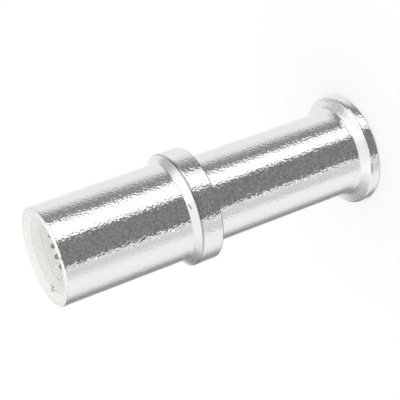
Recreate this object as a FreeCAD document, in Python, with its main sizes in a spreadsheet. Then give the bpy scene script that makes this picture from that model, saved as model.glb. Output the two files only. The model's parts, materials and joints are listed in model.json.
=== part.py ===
"""Female power contact for a round pin: a turned contact body with a socket at one end and a crimp barrel at
the other, and a rolled cage of louvres that lies in a groove inside the socket and grips the pin.

The contact stands on the rim of its crimp barrel. +Z runs up the turning axis, out of the socket's mouth, and the
origin is the centre of the rim's end face. Every height below is built up from that face.
"""

import FreeCAD
import Part
import Sketcher
import os

FULL_TURN = 360.0

# Driving dimensions in millimetres, and in degrees where the name ends in angle
SIZES = {
    # outside of the turned body, from the crimp end up
    "rim_diameter": 13.9,
    "rim_width": 1.3,
    "rim_edge_chamfer": 0.2,
    "flare_height": 0.55,
    "flare_root_radius": 0.5,
    "barrel_diameter": 10.7,
    "barrel_length": 20.55,
    "collar_diameter": 13.9,
    "collar_width": 2.75,
    "collar_edge_chamfer": 0.2,
    "collar_cone_height": 0.82,
    "socket_diameter": 12.0,
    "socket_length": 16.03,
    "lip_edge_radius": 0.15,
    # socket, from its mouth down
    "mouth_diameter": 10.45,
    "mouth_countersink_depth": 0.6,
    "guide_diameter": 9.2,
    "guide_length": 1.15,
    "cage_groove_depth": 0.24,
    "cage_groove_length": 9.6,
    "run_out_length": 3.1,
    "drill_point_angle": 118.0,
    # crimp bore, from the rim's end face up
    "wire_entry_diameter": 9.2,
    "wire_entry_depth": 0.5,
    "wire_bore_diameter": 8.2,
    "wire_bore_depth": 18.0,
    # louvre cage
    "cage_sheet_thickness": 0.22,
    "cage_end_play": 0.1,
    "cage_band_height": 0.75,
    "cage_band_margin": 0.15,
    "cage_bend_radius": 3.0,
    "cage_seam_width": 0.58,
    "cage_seam_direction_angle": 267.0,
    "pin_grip_diameter": 7.8,
    "pin_grip_length": 2.4,
    "louvre_count": 21,
    "louvre_slot_width": 0.65,
}

# Heights along the axis, each one written from the sizes below it
RIM_TOP = "Sizes.rim_width"
BARREL_FOOT = f"({RIM_TOP} + Sizes.flare_height)"
COLLAR_FOOT = f"({BARREL_FOOT} + Sizes.barrel_length)"
COLLAR_TOP = f"({COLLAR_FOOT} + Sizes.collar_width)"
SOCKET_FOOT = f"({COLLAR_TOP} + Sizes.collar_cone_height)"
MOUTH = f"({SOCKET_FOOT} + Sizes.socket_length)"
GUIDE_TOP = f"({MOUTH} - Sizes.mouth_countersink_depth)"
GROOVE_TOP = f"({GUIDE_TOP} - Sizes.guide_length)"
GROOVE_FOOT = f"({GROOVE_TOP} - Sizes.cage_groove_length)"
SOCKET_FLOOR = f"({GROOVE_FOOT} - Sizes.run_out_length)"

# Radii
RIM_RADIUS = "Sizes.rim_diameter / 2"
BARREL_RADIUS = "Sizes.barrel_diameter / 2"
COLLAR_RADIUS = "Sizes.collar_diameter / 2"
SOCKET_RADIUS = "Sizes.socket_diameter / 2"
MOUTH_RADIUS = "Sizes.mouth_diameter / 2"
GUIDE_RADIUS = "Sizes.guide_diameter / 2"
GROOVE_RADIUS = f"({GUIDE_RADIUS} + Sizes.cage_groove_depth)"
WIRE_ENTRY_RADIUS = "Sizes.wire_entry_diameter / 2"
WIRE_RADIUS = "Sizes.wire_bore_diameter / 2"
GRIP_RADIUS = "Sizes.pin_grip_diameter / 2"

# The cage stands on the groove's lower shoulder, with its end play above it and its bands flush with the guide
CAGE_FOOT = GROOVE_FOOT
CAGE_TOP = f"({GROOVE_TOP} - Sizes.cage_end_play)"
CAGE_MIDDLE = f"(({CAGE_FOOT} + {CAGE_TOP}) / 2)"
LOWER_BAND_TOP = f"({CAGE_FOOT} + Sizes.cage_band_height + Sizes.cage_band_margin)"
UPPER_BAND_FOOT = f"({CAGE_TOP} - Sizes.cage_band_height - Sizes.cage_band_margin)"
GRIP_FOOT = f"({CAGE_MIDDLE} - Sizes.pin_grip_length / 2)"
GRIP_TOP = f"({CAGE_MIDDLE} + Sizes.pin_grip_length / 2)"
SLOT_FOOT = f"({CAGE_FOOT} + Sizes.cage_band_height)"
SLOT_TOP = f"({CAGE_TOP} - Sizes.cage_band_height)"
INSIDE_BEND = "Sizes.cage_bend_radius"
OUTSIDE_BEND = "(Sizes.cage_bend_radius + Sizes.cage_sheet_thickness)"


def drill_point(radius):
    """Height of the cone that a drill of this radius leaves at the end of its hole."""
    return f"({radius}) / tan(Sizes.drill_point_angle / 2 * 1 deg)"


def angle_of(width):
    """Angle at the axis of a gap this wide in the cage's bands."""
    return f"({width} / ({GUIDE_RADIUS})) * 1 rad"


# Angle that the rolled strip covers round the axis
STRIP_ANGLE = f"{FULL_TURN} * 1 deg - {angle_of('Sizes.cage_seam_width')}"


def add_sizes(doc):
    """The spreadsheet that holds every driving dimension, one to a row, under its alias."""
    sheet = doc.addObject("Spreadsheet::Sheet", "Sizes")
    for row, (name, value) in enumerate(SIZES.items(), start=1):
        sheet.set(f"A{row}", name)
        sheet.set(f"B{row}", str(value))
        sheet.setAlias(f"B{row}", name)
    doc.recompute()
    return sheet


def origin_feature(body, role):
    """One of the body's own base planes or axes, such as XZ_Plane or Z_Axis."""
    return next(o for o in body.Origin.OriginFeatures if o.Role == role)


def add_sketch(body, name, plane):
    """An empty sketch on one of the body's base planes."""
    sketch = body.newObject("Sketcher::SketchObject", name)
    sketch.AttachmentSupport = [(origin_feature(body, plane), "")]
    sketch.MapMode = "FlatFace"
    return sketch


def hold(sketch, kind, *where, value, name):
    """A dimension of a sketch, named and bound to the sheet."""
    number = sketch.addConstraint(Sketcher.Constraint(kind, *where, sketch.evalExpression(value)))
    sketch.renameConstraint(number, name)
    sketch.setExpression(f"Constraints.{name}", value)


def turned_profile(body, name, corners):
    """A closed half section, as its corners: (radius, height), or (radius, height, rounding) for a rounded one.
    A radius of None is on the axis, and a height of None on the end face."""
    sketch = add_sketch(body, name, "XZ_Plane")
    points = []
    for radius, height, *_ in corners:
        across = sketch.evalExpression(radius) if radius else 0.0
        up = sketch.evalExpression(height) if height else 0.0
        points.append(FreeCAD.Vector(across, up, 0))
    for start, end in zip(points, points[1:] + points[:1]):
        sketch.addGeometry(Part.LineSegment(start, end))
    sides = len(corners)
    for side in range(sides):
        sketch.addConstraint(Sketcher.Constraint("Coincident", (side - 1) % sides, 2, side, 1))
    for corner, (radius, height, *_) in enumerate(corners):
        if radius:
            hold(sketch, "DistanceX", -1, 1, corner, 1, value=radius, name=f"radius_{corner}")
        else:
            sketch.addConstraint(Sketcher.Constraint("PointOnObject", corner, 1, -2))
        if height:
            hold(sketch, "DistanceY", -1, 1, corner, 1, value=height, name=f"height_{corner}")
        else:
            sketch.addConstraint(Sketcher.Constraint("PointOnObject", corner, 1, -1))
    for corner, (_, _, *rounding) in enumerate(corners):
        if rounding:
            arc = sketch.GeometryCount
            sketch.fillet((corner - 1) % sides, 2, sketch.evalExpression(rounding[0]), True, True)
            hold(sketch, "Radius", arc, value=rounding[0], name=f"rounding_{corner}")
    return sketch


def turn(body, kind, name, sketch):
    """Adds (Revolution) or cuts (Groove) a half section turned about the axis."""
    feature = body.newObject(f"PartDesign::{kind}", name)
    feature.Profile = sketch
    feature.ReferenceAxis = (sketch, ["V_Axis"])
    feature.Angle = FULL_TURN
    body.Document.recompute()
    return feature


def make_contact_body(doc):
    """The turned body: rim, flare, crimp barrel, collar and socket outside, with a blind bore in each end."""
    body = doc.addObject("PartDesign::Body", "ContactBody")
    body.Label = "contact_body"

    outline = turned_profile(body, "OutsideSection", [
        (None, None),
        (f"({RIM_RADIUS} - Sizes.rim_edge_chamfer)", None),
        (RIM_RADIUS, "Sizes.rim_edge_chamfer"),
        (RIM_RADIUS, RIM_TOP),
        (BARREL_RADIUS, BARREL_FOOT, "Sizes.flare_root_radius"),
        (BARREL_RADIUS, COLLAR_FOOT),
        (f"({COLLAR_RADIUS} - Sizes.collar_edge_chamfer)", COLLAR_FOOT),
        (COLLAR_RADIUS, f"({COLLAR_FOOT} + Sizes.collar_edge_chamfer)"),
        (COLLAR_RADIUS, COLLAR_TOP),
        (SOCKET_RADIUS, SOCKET_FOOT),
        (SOCKET_RADIUS, MOUTH, "Sizes.lip_edge_radius"),
        (None, MOUTH),
    ])
    turn(body, "Revolution", "Outside", outline)

    socket = turned_profile(body, "SocketSection", [
        (None, MOUTH),
        (None, f"({SOCKET_FLOOR} - {drill_point(GUIDE_RADIUS)})"),
        (GUIDE_RADIUS, SOCKET_FLOOR),
        (GUIDE_RADIUS, GROOVE_FOOT),
        (GROOVE_RADIUS, GROOVE_FOOT),
        (GROOVE_RADIUS, GROOVE_TOP),
        (GUIDE_RADIUS, GROOVE_TOP),
        (GUIDE_RADIUS, GUIDE_TOP),
        (MOUTH_RADIUS, MOUTH),
    ])
    turn(body, "Groove", "SocketBore", socket)

    crimp = turned_profile(body, "CrimpSection", [
        (None, None),
        (WIRE_ENTRY_RADIUS, None),
        (WIRE_RADIUS, "Sizes.wire_entry_depth"),
        (WIRE_RADIUS, "Sizes.wire_bore_depth"),
        (None, f"(Sizes.wire_bore_depth + {drill_point(WIRE_RADIUS)})"),
    ])
    turn(body, "Groove", "CrimpBore", crimp)
    return body


def make_contact_cage(doc):
    """The louvre cage: a strip of spring sheet, slotted, bent inwards along its middle and rolled into the groove.
    Both ends of the strip lie in the middle of a slot, and the seam between them keeps it springy."""
    body = doc.addObject("PartDesign::Body", "ContactCage")
    body.Label = "contact_cage"

    line = [
        (GUIDE_RADIUS, CAGE_FOOT),
        (GUIDE_RADIUS, LOWER_BAND_TOP, INSIDE_BEND, OUTSIDE_BEND),
        (GRIP_RADIUS, GRIP_FOOT, OUTSIDE_BEND, INSIDE_BEND),
        (GRIP_RADIUS, GRIP_TOP, OUTSIDE_BEND, INSIDE_BEND),
        (GUIDE_RADIUS, UPPER_BAND_FOOT, INSIDE_BEND, OUTSIDE_BEND),
        (GUIDE_RADIUS, CAGE_TOP),
    ]
    inner = [(radius, height, *bends[:1]) for radius, height, *bends in line]
    outer = [(f"({radius} + Sizes.cage_sheet_thickness)", height, *bends[1:]) for radius, height, *bends in line]
    section = turned_profile(body, "SheetSection", inner + outer[::-1])
    rolled = turn(body, "Revolution", "RolledSheet", section)
    rolled.setExpression("Angle", STRIP_ANGLE)
    doc.recompute()

    slot_section = turned_profile(body, "SlotSection", [
        (f"({GRIP_RADIUS} / 2)", SLOT_FOOT),
        (SOCKET_RADIUS, SLOT_FOOT),
        (SOCKET_RADIUS, SLOT_TOP),
        (f"({GRIP_RADIUS} / 2)", SLOT_TOP),
    ])
    slot = turn(body, "Groove", "LouvreSlot", slot_section)
    slot.Midplane = True
    slot.setExpression("Angle", angle_of("Sizes.louvre_slot_width"))
    doc.recompute()

    slots = body.newObject("PartDesign::PolarPattern", "LouvreSlots")
    slots.Originals = [slot]
    slots.Axis = (origin_feature(body, "Z_Axis"), [""])
    slots.setExpression("Angle", STRIP_ANGLE)
    slots.setExpression("Occurrences", "Sizes.louvre_count + 1")
    body.Tip = slots
    doc.recompute()

    # The strip starts on +X and its seam is centred half a seam short of it, so the turn brings that to its place
    half_seam = f"{angle_of('Sizes.cage_seam_width')} / 2"
    body.setExpression(".Placement.Rotation.Angle", f"Sizes.cage_seam_direction_angle * 1 deg + {half_seam}")
    body.setExpression(".Placement.Rotation.Axis.z", "1")
    return body


def check(doc, parts):
    """Stops before anything is written if a feature failed, or a part isn't one sound solid."""
    for item in doc.Objects:
        if {"Invalid", "Error"} & set(item.State):
            raise RuntimeError(f"{item.Label} failed: {item.State}")
    for part in parts:
        shape = part.Shape
        if shape.isNull() or not shape.isValid() or len(shape.Solids) != 1:
            raise RuntimeError(f"{part.Label} isn't one valid solid")
        if not shape.Solids[0].isClosed():
            raise RuntimeError(f"{part.Label} isn't closed")


def main():
    doc = FreeCAD.newDocument("female_contact")
    add_sizes(doc)
    parts = [make_contact_body(doc), make_contact_cage(doc)]
    doc.recompute()
    check(doc, parts)
    os.makedirs("parts", exist_ok=True)
    for part in parts:
        part.Shape.exportStep(f"parts/{part.Label}.step")
        box = part.Shape.BoundBox
        print(f"{part.Label}: {part.Shape.Volume:.2f} mm3, z {box.ZMin:.2f} to {box.ZMax:.2f}, "
              f"across {box.XLength:.2f} by {box.YLength:.2f}, {len(part.Shape.Faces)} faces")


main()
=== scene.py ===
"""Looks of a female power contact: the turned, silver-plated body, the louvre cage inside its socket, and a
plain studio round them.

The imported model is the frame. Every piece is made in metres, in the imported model's place: the contact stands
on its crimp end, with +Z up its turning axis and its mouth at the top.
"""

import json
import math

import bpy
from bpy.props import FloatProperty, FloatVectorProperty, IntProperty, PointerProperty
from bpy.types import Operator, Panel, PropertyGroup
from mathutils import Matrix, Vector


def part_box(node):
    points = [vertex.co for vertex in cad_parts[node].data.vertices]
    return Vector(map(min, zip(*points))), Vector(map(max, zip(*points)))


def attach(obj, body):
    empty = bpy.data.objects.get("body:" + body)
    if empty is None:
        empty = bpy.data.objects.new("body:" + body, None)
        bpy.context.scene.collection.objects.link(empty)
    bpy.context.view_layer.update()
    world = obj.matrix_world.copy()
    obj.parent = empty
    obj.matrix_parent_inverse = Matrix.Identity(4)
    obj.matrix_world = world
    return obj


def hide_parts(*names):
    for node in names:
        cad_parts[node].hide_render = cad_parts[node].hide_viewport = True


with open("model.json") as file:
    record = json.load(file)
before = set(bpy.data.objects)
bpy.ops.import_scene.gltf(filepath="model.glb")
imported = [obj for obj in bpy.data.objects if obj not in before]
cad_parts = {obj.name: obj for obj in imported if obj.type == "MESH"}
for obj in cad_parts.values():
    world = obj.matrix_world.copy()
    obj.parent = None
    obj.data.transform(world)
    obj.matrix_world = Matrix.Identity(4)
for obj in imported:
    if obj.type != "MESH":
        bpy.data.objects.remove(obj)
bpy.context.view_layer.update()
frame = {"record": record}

bl_info = {
    "name": "Female power contact",
    "version": (1, 0, 0),
    "blender": (4, 5, 0),
    "location": "View3D > Sidebar > Contact",
    "description": "Builds the turned body and louvre cage of a female power contact, and its studio",
    "category": "Object",
}

MM = 0.001
BODY_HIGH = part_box("contact_body")[1]
CAGE_LOW, CAGE_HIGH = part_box("contact_cage")
MOUNTS = {mount["name"]: mount for mount in frame["record"]["mounts"]}
COLLAR_FOOT = MOUNTS["collar_shoulder"]["pos_m"][2]
HALF_SLOT = "half_slot"


def mount_radius(name):
    """Radius of one of the record's round mounts, in metres."""
    return MOUNTS[name]["dims"]["r_mm"] * MM


def length(name, description, default):
    """A length that the user can change, in metres."""
    return FloatProperty(name=name, description=description, default=default, min=0.0, unit="LENGTH",
                         precision=5)


def angle(name, description, degrees):
    """An angle that the user can change, given here in degrees."""
    return FloatProperty(name=name, description=description, default=math.radians(degrees), subtype="ANGLE")


def share(name, description, default):
    """A share from 0 to 1 that the user can change."""
    return FloatProperty(name=name, description=description, default=default, min=0.0, max=1.0,
                         subtype="FACTOR")


def colour(name, description, default):
    """A colour that the user can change."""
    return FloatVectorProperty(name=name, description=description, default=default, size=3, min=0.0, max=1.0,
                               subtype="COLOR")


class ContactBodySizes(PropertyGroup):
    """Sizes of the turned body. Lengths run up the axis from the crimp end."""

    overall_length: length("Overall length", "From the crimp end to the mouth", BODY_HIGH.z)
    rim_radius: length("Rim radius", "Outside of the rim at the crimp end", BODY_HIGH.x)
    rim_width: length("Rim width", "Straight part of the rim", 1.3 * MM)
    rim_edge: length("Rim edge", "Rounding of the rim's end edge", 0.2 * MM)
    rim_front_edge: length("Rim front edge", "Rounding where the rim meets its flare", 0.4 * MM)
    flare_height: length("Flare height", "Cone between the rim and the barrel", 0.55 * MM)
    flare_root: length("Flare root", "Rounding where the barrel meets the flare", 0.5 * MM)
    barrel_radius: length("Barrel radius", "Outside of the crimp barrel", 5.35 * MM)
    collar_foot: length("Collar foot", "Height of the collar's square shoulder", COLLAR_FOOT)
    collar_radius: length("Collar radius", "Outside of the collar", 6.95 * MM)
    collar_width: length("Collar width", "Straight part of the collar", 2.75 * MM)
    collar_edge: length("Collar edge", "Rounding of the collar's rear edge", 0.16 * MM)
    collar_front_edge: length("Collar front edge", "Rounding between the collar and its cone", 0.4 * MM)
    cone_height: length("Cone height", "Cone between the collar and the socket", 0.82 * MM)
    cone_root: length("Cone root", "Rounding where the socket meets the cone", 0.2 * MM)
    socket_radius: length("Socket radius", "Outside of the socket", mount_radius("socket_outside"))
    lip_edge: length("Lip edge", "Rounding of the socket's outer edge at the mouth", 0.15 * MM)
    mouth_radius: length("Mouth radius", "Widest part of the mouth's countersink", 5.225 * MM)
    countersink_depth: length("Countersink depth", "Depth of the mouth's countersink", 0.6 * MM)
    guide_radius: length("Guide radius", "Bore that leads the pin in", 4.6 * MM)
    guide_length: length("Guide length", "Length of the guide bore above the cage's groove", 1.23 * MM)
    groove_depth: length("Groove depth", "Depth of the groove that holds the cage", 0.24 * MM)
    run_out: length("Run-out", "Bore below the cage's groove", 3.1 * MM)
    wire_radius: length("Wire bore radius", "Bore of the crimp barrel", mount_radius("crimp_bore"))
    wire_depth: length("Wire bore depth", "Depth of the crimp barrel's bore", 18.0 * MM)
    wire_entry_radius: length("Wire entry radius", "Widest part of the crimp barrel's countersink", 4.6 * MM)
    wire_entry_depth: length("Wire entry depth", "Depth of the crimp barrel's countersink", 0.5 * MM)
    drill_half_angle: angle("Drill half angle", "Half of the drill's point angle", 59.0)
    inner_edge: length("Inner edge", "Rounding of the edges inside the bores", 0.05 * MM)
    arc_step: angle("Arc step", "Turn between two points of a rounding", 11.0)
    turning_steps: IntProperty(name="Turning steps", description="Faces round the axis", default=288, min=12)


class LouvreCageSizes(PropertyGroup):
    """Sizes of the louvre cage, which is rolled from slotted spring sheet."""

    sheet: length("Sheet", "Thickness of the spring sheet", 0.22 * MM)
    band_height: length("Band height", "Plain band above and below the slots", 0.75 * MM)
    band_margin: length("Band margin", "Straight stretch between a slot's end and the bend", 0.15 * MM)
    bend_radius: length("Bend radius", "Radius of the bends, on their inside", 3.0 * MM)
    grip_radius: length("Grip radius", "Inside of the cage at its waist", mount_radius("pin_grip"))
    grip_length: length("Grip length", "Length of the waist between its bends' corners", 2.4 * MM)
    slot_width: length("Slot width", "Width of a slot between two louvres", 0.65 * MM)
    seam_width: length("Seam width", "Gap between the two ends of the strip", 0.58 * MM)
    seam_direction: angle("Seam direction", "Where the seam lies, from +X towards +Y", 267.0)
    louvres: IntProperty(name="Louvres", description="Number of louvres", default=21, min=3)
    across: IntProperty(name="Faces across", description="Faces across a louvre", default=8, min=2)
    along: length("Row spacing", "Height of a face along a louvre", 0.16 * MM)
    edge: length("Cut edge", "Rounding of the sheet's cut edges", 0.03 * MM)


class PlatingFinish(PropertyGroup):
    """Finish of the silver plating."""

    silver: colour("Silver", "Colour of the bright plating", (0.96, 0.958, 0.952))
    spring_silver: colour("Spring silver", "Colour of the plating on the cage", (0.945, 0.941, 0.93))
    bore_silver: colour("Bore silver", "Colour of the plating inside the bores", (0.965, 0.96, 0.94))
    roughness: share("Roughness", "Roughness of the outside", 0.03)
    bore_roughness: share("Bore roughness", "Roughness inside the bores, which stay as plated", 0.6)
    bore_metallic: share("Bore metallic", "How much of a mirror the bores' white plating still is", 0.1)
    grain: length("Grain", "Size of the plating's fine grain", 0.27 * MM)
    grain_height: length("Grain height", "Height of the fine grain", 0.030 * MM)
    ripple: length("Ripple", "Size of the plating's soft ripple", 1.1 * MM)
    ripple_height: length("Ripple height", "Height of the soft ripple", 0.004 * MM)
    ripple_gloss: share("Ripple gloss", "How far the ripple changes the roughness", 0.02)
    haze: share("Haze", "Faint white haze of the plating, as a share of its light", 0.08)
    turning_pitch: length("Turning pitch", "Distance between the turning marks on the end faces", 0.26 * MM)
    turning_height: length("Turning height", "Height of the turning marks", 0.006 * MM)
    # Painted shade: the next three set dark lines painted on the rim's and the collar's edges, in place of the
    # dark reflections of their roundings.
    rim_line: share("Rim line", "How dark the rim's end edge is", 0.7)
    shoulder_line: share("Shoulder line", "How dark the collar's rear edge is", 0.85)
    collar_line: share("Collar line", "How dark the edge between the collar and its cone is", 0.5)
    # Darker colour on the mouth's countersink and on the edge below it.
    mouth_stain: share("Mouth stain", "How much duller the mouth's countersink is", 0.27)
    burr_line: share("Burr line", "How dark the edge between the countersink and the guide bore is", 0.2)
    # Painted shade on the wall of the cage's groove, which shows through the cage's slots.
    groove_stain: share("Groove stain", "How much duller the wall of the cage's groove is", 0.4)


class StudioSettings(PropertyGroup):
    """The plain studio: floor, light and camera."""

    floor_radius: length("Floor radius", "Size of the floor", 2.0)
    floor_colour: colour("Floor colour", "Colour of the pale floor", (0.72, 0.72, 0.72))
    floor_glow: FloatProperty(name="Floor glow", description="Strength of the floor's glow for the camera",
                              default=1.04)
    glow_share: share("Glow share", "How much of the floor's look is glow, for the camera", 0.6)
    soft_light: FloatProperty(name="Soft light", description="Light from all round, on matte surfaces",
                              default=1.36)
    camera_side: length("Camera side", "Sideways from the axis to the camera", 0.076 * MM)
    camera_distance: length("Camera distance", "From the axis to the camera", 141.186 * MM)
    camera_height: length("Camera height", "Height of the camera above the floor", 84.232 * MM)
    camera_down: angle("Camera down", "How far the camera looks below the horizon", 23.965)
    camera_roll: angle("Camera roll", "Turn of the camera about its line of sight", -110.007)
    camera_lens: FloatProperty(name="Camera lens", description="Focal length, in millimetres", default=116.6)


class Wire:
    """A socket's value in a node tree. An expression on wires adds the nodes that work it out."""

    def __init__(self, web, socket):
        self.web = web
        self.socket = socket

    def out(self, name):
        """Another output of the same node."""
        return Wire(self.web, self.socket.node.outputs[name])

    def _maths(self, operation, *values):
        return self.web.node(f"{self.web.maths}Math", {"operation": operation}, *values)

    def __add__(self, other):
        return self._maths("ADD", self, other)

    def __sub__(self, other):
        return self._maths("SUBTRACT", self, other)

    def __mul__(self, other):
        return self._maths("MULTIPLY", self, other)

    def __truediv__(self, other):
        return self._maths("DIVIDE", self, other)

    def __mod__(self, other):
        return self._maths("FLOORED_MODULO", self, other)

    def __pow__(self, other):
        return self._maths("POWER", self, other)

    def __radd__(self, other):
        return self._maths("ADD", other, self)

    def __rsub__(self, other):
        return self._maths("SUBTRACT", other, self)

    def __rmul__(self, other):
        return self._maths("MULTIPLY", other, self)

    def __rtruediv__(self, other):
        return self._maths("DIVIDE", other, self)

    def __lt__(self, other):
        return self._maths("LESS_THAN", self, other)

    def __gt__(self, other):
        return self._maths("GREATER_THAN", self, other)

    def floor(self):
        return self._maths("FLOOR", self)

    def sin(self):
        return self._maths("SINE", self)

    def cos(self):
        return self._maths("COSINE", self)

    def arcsine(self):
        return self._maths("ARCSINE", self)

    def hypot(self, other):
        return (self * self + other * other) ** 0.5

    def heading(self, other):
        """Angle of the point (other, self), as atan2 gives it."""
        return self._maths("ARCTAN2", self, other)

    def bell(self):
        """1 at 0, falling smoothly to 0 at -1 and at 1."""
        return (self * self).ramp(1.0, 0.0)

    def ramp(self, low, high):
        """0 below low and 1 above high, with a smooth rise between. It falls where high is below low."""
        start, end = (0.0, 1.0) if low < high else (1.0, 0.0)
        return self.web.node("ShaderNodeMapRange", {"interpolation_type": "SMOOTHSTEP"}, self,
                             min(low, high), max(low, high), start, end)


class Web:
    """A node tree that is being built."""

    maths = "ShaderNode"

    def __init__(self, tree):
        self.tree = tree

    def node(self, kind, settings=None, *values, **named):
        """Adds a node of this kind, sets its settings and then its inputs, in order or by name with _ for a
        space, and returns its first output that can be used."""
        node = self.tree.nodes.new(kind)
        for name, value in (settings or {}).items():
            setattr(node, name, value)
        inputs = [socket for socket in node.inputs if socket.enabled]
        pairs = list(zip(inputs, values))
        pairs += [(node.inputs[name.replace("_", " ")], value) for name, value in named.items()]
        for socket, value in pairs:
            if isinstance(value, Wire):
                self.tree.links.new(value.socket, socket)
            elif value is not None:
                socket.default_value = value
        outputs = [socket for socket in node.outputs if socket.enabled]
        return Wire(self, outputs[0]) if outputs else None


def new_shape_tree(name, inputs):
    """A geometry tree with these inputs, {name: socket kind}, and one geometry output. Returns its web and
    the wires of its inputs."""
    tree = bpy.data.node_groups.new(name, "GeometryNodeTree")
    for label, kind in inputs.items():
        tree.interface.new_socket(label, in_out="INPUT", socket_type=f"NodeSocket{kind}")
    tree.interface.new_socket("Geometry", in_out="OUTPUT", socket_type="NodeSocketGeometry")
    web = Web(tree)
    source = web.node("NodeGroupInput")
    return web, {label: source.out(label) for label in inputs}


def finish_shape_tree(web, geometry, material):
    """Ends a geometry tree: instances become real, and everything gets the material."""
    real = web.node("GeometryNodeRealizeInstances", {}, geometry)
    painted = web.node("GeometryNodeSetMaterial", {}, real, Material=material)
    web.node("NodeGroupOutput", {}, painted)


def new_piece(name, mesh):
    """A piece's object, at the origin, with its place in its mesh."""
    piece = bpy.data.objects.new(name, mesh)
    bpy.context.collection.objects.link(piece)
    return piece


def grow(piece, web, values):
    """Runs a geometry tree on a piece with these input values, and leaves the result as its plain mesh."""
    modifier = piece.modifiers.new(web.tree.name, "NODES")
    modifier.node_group = web.tree
    sockets = {item.name: item.identifier for item in web.tree.interface.items_tree if item.in_out == "INPUT"}
    for name, value in values.items():
        modifier[sockets[name]] = value
    bake(piece)


def bake(piece):
    """Turns what a piece's modifiers make into its plain mesh, and removes them."""
    bpy.context.view_layer.update()
    evaluated = piece.evaluated_get(bpy.context.evaluated_depsgraph_get())
    mesh = bpy.data.meshes.new_from_object(evaluated)
    mesh.name = piece.name
    piece.modifiers.clear()
    piece.data = mesh


def rounded(corners, arc_step):
    """Points (radius, height) of a section with rounded corners. Each corner is (radius, height, rounding).
    Beside each rounding the straight side gets a point of its own, so that its shading stays flat."""
    points = []
    last = len(corners) - 1
    for number, (radius, height, rounding) in enumerate(corners):
        corner = Vector((radius, height))
        if number in (0, last):
            points.append(corner)
            continue
        back = Vector(corners[number - 1][:2]) - corner
        ahead = Vector(corners[number + 1][:2]) - corner
        inside = back.angle(ahead)
        reach = rounding / math.tan(inside / 2)
        start = corner + back.normalized() * reach
        halfway = (back.normalized() + ahead.normalized()).normalized()
        centre = corner + halfway * (rounding / math.sin(inside / 2))
        turn = math.pi - inside
        turn *= math.copysign(1, back.x * ahead.y - back.y * ahead.x) * -1
        steps = max(2, math.ceil(abs(turn) / arc_step))
        points.append(start + back.normalized() * min(reach, back.length / 4))
        for step in range(steps + 1):
            points.append(centre + Matrix.Rotation(turn * step / steps, 2) @ (start - centre))
        end = corner + ahead.normalized() * reach
        points.append(end + ahead.normalized() * min(reach, ahead.length / 4))
    return points


def turned_solid_tree():
    """Turns a section about the axis. It is a chain of points in the plane of X and Z, from axis to axis."""
    web, wires = new_shape_tree("Turned solid", {
        "Section": "Geometry",
        "Turning steps": "Int",
        "Material": "Material",
    })
    section, steps = wires["Section"], wires["Turning steps"]
    size = web.node("GeometryNodeAttributeDomainSize", {"component": "MESH"}, section)
    grid = web.node("GeometryNodeMeshGrid", {}, 1.0, 1.0, size, steps + 1.0)
    index = web.node("GeometryNodeInputIndex")
    position = web.node("GeometryNodeInputPosition")
    row = (index / (steps + 1.0)).floor()
    turn = (index % (steps + 1.0)) / steps * -math.tau
    point = web.node("GeometryNodeSampleIndex", {"data_type": "FLOAT_VECTOR"}, section, position, row)
    across = web.node("ShaderNodeSeparateXYZ", {}, point)
    place = web.node("ShaderNodeCombineXYZ", {}, across * turn.cos(), across * turn.sin(), across.out("Z"))
    turned = web.node("GeometryNodeSetPosition", {}, grid, Position=place)
    closed = web.node("GeometryNodeMergeByDistance", {}, turned, Distance=1e-7)
    smooth = web.node("GeometryNodeSetShadeSmooth", {}, closed)
    finish_shape_tree(web, smooth, wires["Material"])
    return web


def body_corners(sizes):
    """Corners of the body's half section, from the wire bore's point, round the outside, to the socket's."""
    inner = sizes.inner_edge
    barrel_foot = sizes.rim_width + sizes.flare_height
    collar_top = sizes.collar_foot + sizes.collar_width
    socket_foot = collar_top + sizes.cone_height
    mouth = sizes.overall_length
    guide_top = mouth - sizes.countersink_depth
    groove_top = guide_top - sizes.guide_length
    groove_foot = CAGE_LOW.z
    groove_radius = sizes.guide_radius + sizes.groove_depth
    floor = groove_foot - sizes.run_out
    point = 1 / math.tan(sizes.drill_half_angle)
    return [
        (0.0, sizes.wire_depth + sizes.wire_radius * point, 0.0),
        (sizes.wire_radius, sizes.wire_depth, inner),
        (sizes.wire_radius, sizes.wire_entry_depth, inner),
        (sizes.wire_entry_radius, 0.0, inner),
        (sizes.rim_radius, 0.0, sizes.rim_edge),
        (sizes.rim_radius, sizes.rim_width, sizes.rim_front_edge),
        (sizes.barrel_radius, barrel_foot, sizes.flare_root),
        (sizes.barrel_radius, sizes.collar_foot, inner),
        (sizes.collar_radius, sizes.collar_foot, sizes.collar_edge),
        (sizes.collar_radius, collar_top, sizes.collar_front_edge),
        (sizes.socket_radius, socket_foot, sizes.cone_root),
        (sizes.socket_radius, mouth, sizes.lip_edge),
        (sizes.mouth_radius, mouth, inner),
        (sizes.guide_radius, guide_top, inner),
        (sizes.guide_radius, groove_top, inner),
        (groove_radius, groove_top, inner),
        (groove_radius, groove_foot, inner),
        (sizes.guide_radius, groove_foot, inner),
        (sizes.guide_radius, floor, inner),
        (0.0, floor - sizes.guide_radius * point, 0.0),
    ]


def chain(name, points):
    """A mesh of points joined in a chain, from (radius, height) pairs."""
    mesh = bpy.data.meshes.new(name)
    edges = [(number, number + 1) for number in range(len(points) - 1)]
    mesh.from_pydata([(radius, 0.0, height) for radius, height in points], edges, [])
    return mesh


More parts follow.
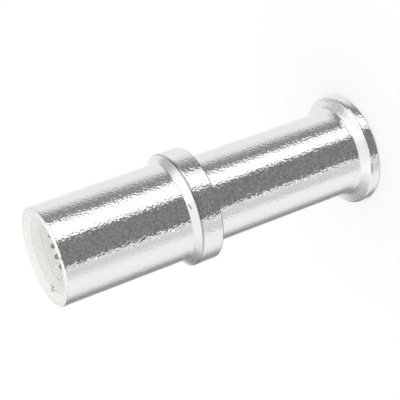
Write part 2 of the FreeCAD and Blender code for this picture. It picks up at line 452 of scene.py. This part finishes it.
def louvred_sheet_tree():
    """Rolls a slotted sheet about the axis. Each row of the section carries its half slot, as an angle. One
    louvre with its share of the bands is a grid that narrows by that much on each side, and it is repeated
    round the axis."""
    web, wires = new_shape_tree("Louvred sheet", {
        "Section": "Geometry",
        "Faces across": "Int",
        "Louvres": "Int",
        "Pitch": "Float",
        "Start": "Float",
        "Material": "Material",
    })
    section, across = wires["Section"], wires["Faces across"]
    pitch = wires["Pitch"]
    size = web.node("GeometryNodeAttributeDomainSize", {"component": "MESH"}, section)
    grid = web.node("GeometryNodeMeshGrid", {}, 1.0, 1.0, size, across + 1.0)
    index = web.node("GeometryNodeInputIndex")
    position = web.node("GeometryNodeInputPosition")
    half_slot = web.node("GeometryNodeInputNamedAttribute", {"data_type": "FLOAT"}, HALF_SLOT)
    row = (index / (across + 1.0)).floor()
    column = 0.5 - (index % (across + 1.0)) / across
    point = web.node("GeometryNodeSampleIndex", {"data_type": "FLOAT_VECTOR"}, section, position, row)
    narrowing = web.node("GeometryNodeSampleIndex", {"data_type": "FLOAT"}, section, half_slot, row)
    turn = column * (pitch - narrowing * 2.0)
    radius = web.node("ShaderNodeSeparateXYZ", {}, point)
    place = web.node("ShaderNodeCombineXYZ", {}, radius * turn.cos(), radius * turn.sin(), radius.out("Z"))
    louvre = web.node("GeometryNodeSetPosition", {}, grid, Position=place)
    spots = web.node("GeometryNodePoints", {}, wires["Louvres"])
    heading = wires["Start"] + (index + 0.5) * pitch
    aim = web.node("ShaderNodeCombineXYZ", {}, 0.0, 0.0, heading)
    ring = web.node("GeometryNodeInstanceOnPoints", {}, spots, Instance=louvre, Rotation=aim)
    real = web.node("GeometryNodeRealizeInstances", {}, ring)
    joined = web.node("GeometryNodeMergeByDistance", {}, real, Distance=1e-7)
    smooth = web.node("GeometryNodeSetShadeSmooth", {}, joined)
    finish_shape_tree(web, smooth, wires["Material"])
    return web


def sheet_rows(cage, guide_radius):
    """Rows of the louvred sheet's outer face, from its foot up: (radius, height, half slot as an angle)."""
    low, high = CAGE_LOW.z, CAGE_HIGH.z
    middle = (low + high) / 2
    bend = cage.band_height + cage.band_margin
    outer = guide_radius + cage.sheet
    waist = cage.grip_radius + cage.sheet
    outside_bend = cage.bend_radius + cage.sheet
    corners = [
        (outer, low, 0.0),
        (outer, low + bend, outside_bend),
        (waist, middle - cage.grip_length / 2, cage.bend_radius),
        (waist, middle + cage.grip_length / 2, cage.bend_radius),
        (outer, high - bend, outside_bend),
        (outer, high, 0.0),
    ]
    outline = rounded(corners, math.radians(1.0))
    slot_low, slot_high = low + cage.band_height, high - cage.band_height
    half_width = cage.slot_width / 2
    end_steps = 6
    heights = []
    for slot_end, way in ((slot_low, 1), (slot_high, -1)):
        turns = [math.pi / 2 * step / end_steps for step in range(end_steps + 1)]
        heights += [slot_end + way * half_width * (1 - math.cos(turn)) for turn in turns]
    rows = math.ceil((high - low) / cage.along)
    plain = [low + (high - low) * row / rows for row in range(rows + 1)]
    heights += [height for height in plain if all(abs(height - other) > cage.along / 3 for other in heights)]
    result = []
    for height in sorted(heights):
        depth = min(height - slot_low, slot_high - height)
        reach = max(0.0, min(depth, half_width))
        half_slot = math.sqrt(max(0.0, half_width ** 2 - (half_width - reach) ** 2)) / guide_radius
        result.append((radius_at(outline, height), height, half_slot))
    return result


def radius_at(outline, height):
    """Radius of an outline that only rises, at this height."""
    for (low_radius, low), (high_radius, high) in zip(outline, outline[1:]):
        if low <= height <= high and high > low:
            return low_radius + (high_radius - low_radius) * (height - low) / (high - low)
    return outline[-1][0] if height > outline[-1][1] else outline[0][0]


# Small marks on the body: marks that handling left, and patches of painted reflection and painted shade. Each
# has its direction in degrees from +X towards +Y, its height and radius in millimetres, its turn away from level
# in degrees, its length, width and depth in millimetres, and how much it darkens the plating.
MARKS = {
    "scratch on the socket": (-107.8, 32.3, 6.0, -60, 1.2, 0.30, 0.04, 0.5),
    "bright dash on the barrel": (-103.7, 17.6, 5.35, 90, 0.9, 0.22, 0.02, 0.0),
    "nick on the lip": (-97.5, 41.9, 6.0, 0, 0.7, 0.35, 0.03, 0.5),
    # Partly a shallow dent, as a bump, and partly painted shade: a soft dark line along the rim's front edge.
    "dent on the rim": (-120.8, 1.2, 6.9, 0, 2.2, 0.30, 0.02, 0.5),
    "curl on the cone": (-92.5, 25.7, 6.4, 10, 1.0, 0.16, 0.03, 0.7),
    # Painted reflection: dark patches with no depth inside the mouth, in place of a dark reflection there.
    "smudge in the mouth": (141.0, 41.36, 4.8, 60, 1.0, 0.34, 0.0, 0.5),
    "smudge's edge": (135.0, 41.28, 4.7, 10, 0.9, 0.26, 0.0, 0.34),
    "smudge's tail": (147.0, 41.52, 5.0, -20, 1.0, 0.28, 0.0, 0.34),
    "smudge's end": (150.0, 41.24, 4.7, 20, 0.9, 0.24, 0.0, 0.3),
}


def marks(turn, height, inside, mouth_radius):
    """How deep the marks are here, and how dark. A mark of a radius below the mouth's lies inside the bores,
    and the others outside."""
    depth, mark_stains_and_painted_shade = None, None
    for direction, mark_height, radius, slant, long, wide, deep, dark in MARKS.values():
        right, up = math.cos(math.radians(slant)), math.sin(math.radians(slant))
        across = (turn - math.radians(direction)) * (radius * MM)
        above = height - mark_height * MM
        along = (across * right + above * up) / (long * MM / 2)
        beside = (above * right - across * up) / (wide * MM / 2)
        side = inside if radius * MM < mouth_radius else 1.0 - inside
        here = (along * along + beside * beside).ramp(1.0, 0.0) * side
        depth = here * (deep * MM) if depth is None else depth + here * (deep * MM)
        mark_stains_and_painted_shade = here * dark if mark_stains_and_painted_shade is None else mark_stains_and_painted_shade + here * dark
    return depth, mark_stains_and_painted_shade


def painted_edge_shade(body, finish, radius, height):
    """How dark the painted shade is: thin dark lines painted round the edges of the rim and the collar, in place
    of the dark reflections of their roundings.
    """
    offset, reach, front_reach = 0.06 * MM, 0.12 * MM, 0.14 * MM
    rim = ((height - offset) / reach).bell()
    shoulder = ((height - body.collar_foot - offset) / reach).bell()
    front = ((height - body.collar_foot - body.collar_width) / front_reach).bell()
    on_them = radius.ramp(body.socket_radius + 0.2 * MM, body.socket_radius + 0.4 * MM)
    return on_them * (rim * finish.rim_line + shoulder * finish.shoulder_line + front * finish.collar_line)


def bore_darkening_and_painted_shade(body, finish, radius, height, groove_stain):
    """How dark the bores are: in the mouth's countersink, at the edge between it and the guide bore, and on the
    wall of the cage's groove, where the darkening is painted shade that shows through the cage's slots."""
    guide_top = body.overall_length - body.countersink_depth
    mouth = height.ramp(guide_top - 0.02 * MM, guide_top + 0.02 * MM)
    burr = ((height - guide_top) / (0.05 * MM)).bell()
    wall = radius.ramp(CAGE_HIGH.x - 0.1 * MM, CAGE_HIGH.x - 0.02 * MM)
    # Painted shade on the groove's wall, behind the cage's slots.
    groove = wall * height.ramp(guide_top, CAGE_HIGH.z)
    return mouth * finish.mouth_stain + burr * finish.burr_line + groove * groove_stain


def plating(name, base, finish, body, bores, groove_stain):
    """Bright silver plating with a fine grain, a soft ripple and turning marks on the end faces. Inside the
    bores, whose radii in the part's lower and upper half are given, it is a duller white."""
    material = bpy.data.materials.new(name)
    material.use_nodes = True
    web = Web(material.node_tree)
    web.tree.nodes.clear()
    place = web.node("ShaderNodeTexCoord").out("Object")
    axes = web.node("ShaderNodeSeparateXYZ", {}, place)
    grain = web.node("ShaderNodeTexNoise", {}, place, Scale=1 / finish.grain, Detail=1.0, Roughness=0.5)
    ripple = web.node("ShaderNodeTexNoise", {}, place, Scale=1 / finish.ripple, Detail=2.0)
    radius, up = axes.hypot(axes.out("Y")), axes.out("Z")
    facing = web.node("ShaderNodeSeparateXYZ", {}, web.node("ShaderNodeNewGeometry").out("Normal")).out("Z")
    turning = (radius * (math.tau / finish.turning_pitch)).sin() * (facing * facing).ramp(0.9, 0.97)
    low_bore, high_bore = bores
    bore = low_bore + (up > body.overall_length / 2) * (high_bore - low_bore)
    inside = (radius - bore).ramp(0.1 * MM, 0.0)
    depth, mark_stains_and_painted_shade = marks(axes.out("Y").heading(axes), up, inside, body.mouth_radius)
    bumps = grain * finish.grain_height + ripple * finish.ripple_height + turning * finish.turning_height
    hidden = bore_darkening_and_painted_shade(body, finish, radius, up, groove_stain)
    # Painted shade and stains: the marks' stains and painted shade, the dark lines painted on the outer edges
    # and the bores' darkening with the groove's painted shade all mix the colour towards dark grey.
    darkening_and_painted_shade = mark_stains_and_painted_shade + painted_edge_shade(body, finish, radius, up) + inside * hidden
    plain_silver = web.node("ShaderNodeMix", {"data_type": "RGBA"}, inside, (*base, 1.0), (*finish.bore_silver, 1.0))
    silver = web.node("ShaderNodeMix", {"data_type": "RGBA"}, darkening_and_painted_shade, plain_silver, (0.1, 0.1, 0.1, 1.0))
    bright = finish.roughness + (ripple - 0.5) * finish.ripple_gloss
    roughness = bright + inside * (finish.bore_roughness - bright)
    mirror = 1.0 - grain.ramp(0.35, 0.65) * finish.haze
    metallic = mirror + inside * (finish.bore_metallic - mirror)
    bump = web.node("ShaderNodeBump", {}, Strength=1.0, Distance=1.0, Height=bumps - depth)
    shader = web.node("ShaderNodeBsdfPrincipled", {}, Base_Color=silver, Metallic=metallic,
                      Roughness=roughness, Normal=bump)
    web.node("ShaderNodeOutputMaterial", {}, shader)
    return material


class CONTACT_OT_turn_body(Operator):
    """Turn the contact's body: rim, crimp barrel, collar and socket, with a blind bore in each end"""

    bl_idname = "contact.turn_body"
    bl_label = "Turn the body"

    def execute(self, context):
        body, finish = context.scene.contact_body, context.scene.plating_finish
        section = chain("Body section", rounded(body_corners(body), body.arc_step))
        piece = new_piece("turned_contact_body", section)
        bores = (body.wire_entry_radius, body.mouth_radius)
        grow(piece, turned_solid_tree(), {
            "Turning steps": body.turning_steps,
            "Material": plating("Silver plating", finish.silver, finish, body, bores, finish.groove_stain),
        })
        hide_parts("contact_body")
        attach(piece, "root")
        return {"FINISHED"}


class CONTACT_OT_roll_cage(Operator):
    """Roll the louvre cage that lies in the socket's groove"""

    bl_idname = "contact.roll_cage"
    bl_label = "Roll the louvre cage"

    def execute(self, context):
        scene = context.scene
        cage, finish, body = scene.louvre_cage, scene.plating_finish, scene.contact_body
        rows = sheet_rows(cage, body.guide_radius)
        section = chain("Sheet section", [row[:2] for row in rows])
        half_slots = section.attributes.new(HALF_SLOT, "FLOAT", "POINT")
        half_slots.data.foreach_set("value", [row[2] for row in rows])
        seam = cage.seam_width / body.guide_radius
        bores = (CAGE_HIGH.x, CAGE_HIGH.x)
        piece = new_piece("rolled_louvre_cage", section)
        grow(piece, louvred_sheet_tree(), {
            "Faces across": cage.across,
            "Louvres": cage.louvres,
            "Pitch": (math.tau - seam) / cage.louvres,
            "Start": cage.seam_direction + seam / 2,
            "Material": plating("Silver spring plating", finish.spring_silver, finish, body, bores, 0.0),
        })
        wall = piece.modifiers.new("Sheet", "SOLIDIFY")
        wall.thickness = cage.sheet
        wall.offset = -1.0
        wall.use_even_offset = True
        rounding = piece.modifiers.new("Cut edges", "BEVEL")
        rounding.width = cage.edge
        rounding.segments = 2
        rounding.limit_method = "ANGLE"
        rounding.angle_limit = math.radians(50.0)
        bake(piece)
        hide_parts("contact_cage")
        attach(piece, "root")
        return {"FINISHED"}


def light_panel(level, start, end, edges, foot, top, rise, leans=False):
    """A panel of the studio that the metal mirrors. It runs from start to end, in degrees from +Y towards +X,
    and from foot to top, in degrees above the horizon. It fades out over twice its edges at the two ends, and
    over twice its rise at foot and top. A panel that leans turns with its height."""
    return {"level": level, "start": start, "end": end, "edges": edges, "foot": foot, "top": top,
            "rise": rise, "leans": leans}


# Levels of light in the studio, as the metal mirrors it. Panels further down the list stand in front.
WALL_LEVEL = 0.83
SHADE_TINT = (1.0, 0.985, 0.955, 1.0)
CEILING = {"level": 1.06, "foot": 52, "edge": 7}
TABLE = {"level": 0.85, "top": -62, "edge": 8}
LEAN = {"turn": 20, "foot": -38, "top": -8}
PANELS = {
    "shaded ceiling": light_panel(0.89, 166, 290, (8, 12), foot=50, top=99, rise=8),
    "back light": light_panel(1.30, -20, 20, (6, 6), foot=30, top=58, rise=3),
    "gap beside the ceiling": light_panel(0.47, 28, 76, (6, 6), foot=21, top=48, rise=5),
    "gap's corner": light_panel(0.47, 26, 38, (3, 4), foot=44, top=55, rise=2),
    "bright sweep": light_panel(0.91, -15, 26, (8, 12), foot=-99, top=-6, rise=8),
    "left flag": light_panel(0.23, 84, 118, (16, 1), foot=-99, top=36, rise=8, leans=True),
    "window": light_panel(1.10, 118, 172, (1, 1), foot=-99, top=99, rise=1, leans=True),
    "window bar": light_panel(0.45, 117, 200, (1, 1), foot=-6, top=16, rise=3),
    "camera side": light_panel(0.175, 156, 218.5, (4, 0.5), foot=-99, top=40, rise=8),
    "strip lamp": light_panel(1.20, 218.5, 221.5, (0.5, 0.5), foot=-99, top=30, rise=8),
    "seam": light_panel(0.635, 222, 243, (2, 8), foot=-99, top=30, rise=8),
    "seam's end": light_panel(0.50, 242.5, 248, (1, 1.5), foot=-99, top=-25, rise=2),
    "white card": light_panel(0.88, 254, 284, (8, 8), foot=-99, top=40, rise=8),
    "grey card": light_panel(0.28, 303, 341, (15, 9), foot=-99, top=41, rise=21),
}


class CONTACT_OT_set_stage(Operator):
    """Set the stage: a pale floor, the studio's light and the camera"""

    bl_idname = "contact.set_stage"
    bl_label = "Set the stage"

    def execute(self, context):
        studio = context.scene.studio
        self.lay_floor(studio)
        self.light_studio(context.scene)
        self.place_camera(context.scene, studio)
        context.scene.view_settings.view_transform = "Standard"
        return {"FINISHED"}

    def lay_floor(self, studio):
        """A large round floor, which metal doesn't mirror, so that it shows the studio's panels instead."""
        bpy.ops.mesh.primitive_circle_add(vertices=64, radius=studio.floor_radius, fill_type="NGON")
        floor = bpy.context.object
        floor.name = "studio_floor"
        floor.visible_glossy = False
        material = bpy.data.materials.new("Pale floor")
        material.use_nodes = True
        web = Web(material.node_tree)
        web.tree.nodes.clear()
        matt = web.node("ShaderNodeBsdfDiffuse", {}, Color=(*studio.floor_colour, 1.0))
        glow = web.node("ShaderNodeEmission", {}, Strength=studio.floor_glow)
        seen = web.node("ShaderNodeLightPath").out("Is Camera Ray")
        shader = web.node("ShaderNodeMixShader", {}, seen * studio.glow_share, matt, glow)
        web.node("ShaderNodeOutputMaterial", {}, shader)
        floor.data.materials.append(material)

    def light_studio(self, scene):
        """Soft light from all round. The camera and matte surfaces see it plain, and metal sees panels of
        light and dark that stand round the studio, under a bright ceiling."""
        world = bpy.data.worlds.new("Studio")
        world.use_nodes = True
        scene.world = world
        web = Web(world.node_tree)
        web.tree.nodes.clear()
        way = web.node("ShaderNodeTexCoord").out("Generated")
        axes = web.node("ShaderNodeSeparateXYZ", {}, way)
        azimuth = axes.heading(axes.out("Y")) * math.degrees(1)
        rise = axes.out("Z").arcsine() * math.degrees(1)
        above = rise.ramp(CEILING["foot"] - CEILING["edge"], CEILING["foot"] + CEILING["edge"])
        level = WALL_LEVEL + above * (CEILING["level"] - WALL_LEVEL)
        lean = (rise.ramp(LEAN["foot"], LEAN["top"]) - 0.5) * LEAN["turn"]
        for panel in PANELS.values():
            place = azimuth + lean if panel["leans"] else azimuth
            level = level + self.panel_mask(place, rise, panel) * (panel["level"] - level)
        below = rise.ramp(TABLE["top"] + TABLE["edge"], TABLE["top"] - TABLE["edge"])
        level = level + below * (TABLE["level"] - level)
        mirrored = web.node("ShaderNodeLightPath").out("Is Glossy Ray")
        soft = scene.studio.soft_light
        strength = soft + (level - soft) * mirrored
        tint = web.node("ShaderNodeMix", {"data_type": "RGBA"}, level, SHADE_TINT, (1.0, 1.0, 1.0, 1.0))
        light = web.node("ShaderNodeBackground", {}, tint, strength)
        web.node("ShaderNodeOutputWorld", {}, light)

    def panel_mask(self, azimuth, rise, panel):
        """1 where a direction meets a panel, and 0 elsewhere."""
        along = (azimuth - panel["start"] + 180) % 360 - 180
        width = panel["end"] - panel["start"]
        start_edge, end_edge = panel["edges"]
        across = along.ramp(-start_edge, start_edge) * along.ramp(width + end_edge, width - end_edge)
        foot = rise.ramp(panel["foot"] - panel["rise"], panel["foot"] + panel["rise"])
        top = rise.ramp(panel["top"] + panel["rise"], panel["top"] - panel["rise"])
        return across * foot * top

    def place_camera(self, scene, studio):
        """The camera looks down at the contact from the -Y side, rolled so that the mouth is at the left."""
        data = bpy.data.cameras.new("Camera")
        data.sensor_width = 36.0
        data.lens = studio.camera_lens
        data.clip_start = 0.01
        camera = bpy.data.objects.new("Camera", data)
        bpy.context.collection.objects.link(camera)
        tilt = Matrix.Rotation(math.pi / 2 - studio.camera_down, 4, "X")
        roll = Matrix.Rotation(studio.camera_roll, 4, "Z")
        place = (studio.camera_side, -studio.camera_distance, studio.camera_height)
        camera.matrix_world = Matrix.Translation(place) @ tilt @ roll
        scene.camera = camera


class CONTACT_PT_panel(Panel):
    """The contact's tools and sizes"""

    bl_label = "Female power contact"
    bl_idname = "CONTACT_PT_panel"
    bl_space_type = "VIEW_3D"
    bl_region_type = "UI"
    bl_category = "Contact"

    def draw(self, context):
        layout = self.layout
        for operator in (CONTACT_OT_turn_body, CONTACT_OT_roll_cage, CONTACT_OT_set_stage):
            layout.operator(operator.bl_idname)
        for label, group in (
            ("Body", context.scene.contact_body),
            ("Louvre cage", context.scene.louvre_cage),
            ("Plating", context.scene.plating_finish),
            ("Studio", context.scene.studio),
        ):
            box = layout.box()
            box.label(text=label)
            for name in group.__annotations__:
                box.prop(group, name)


CLASSES = (
    ContactBodySizes,
    LouvreCageSizes,
    PlatingFinish,
    StudioSettings,
    CONTACT_OT_turn_body,
    CONTACT_OT_roll_cage,
    CONTACT_OT_set_stage,
    CONTACT_PT_panel,
)


def register():
    for item in CLASSES:
        bpy.utils.register_class(item)
    bpy.types.Scene.contact_body = PointerProperty(type=ContactBodySizes)
    bpy.types.Scene.louvre_cage = PointerProperty(type=LouvreCageSizes)
    bpy.types.Scene.plating_finish = PointerProperty(type=PlatingFinish)
    bpy.types.Scene.studio = PointerProperty(type=StudioSettings)


def unregister():
    for name in ("contact_body", "louvre_cage", "plating_finish", "studio"):
        delattr(bpy.types.Scene, name)
    for item in reversed(CLASSES):
        bpy.utils.unregister_class(item)


def main():
    register()
    bpy.ops.contact.turn_body()
    bpy.ops.contact.roll_cage()
    bpy.ops.contact.set_stage()


if __name__ == "__main__":
    main()
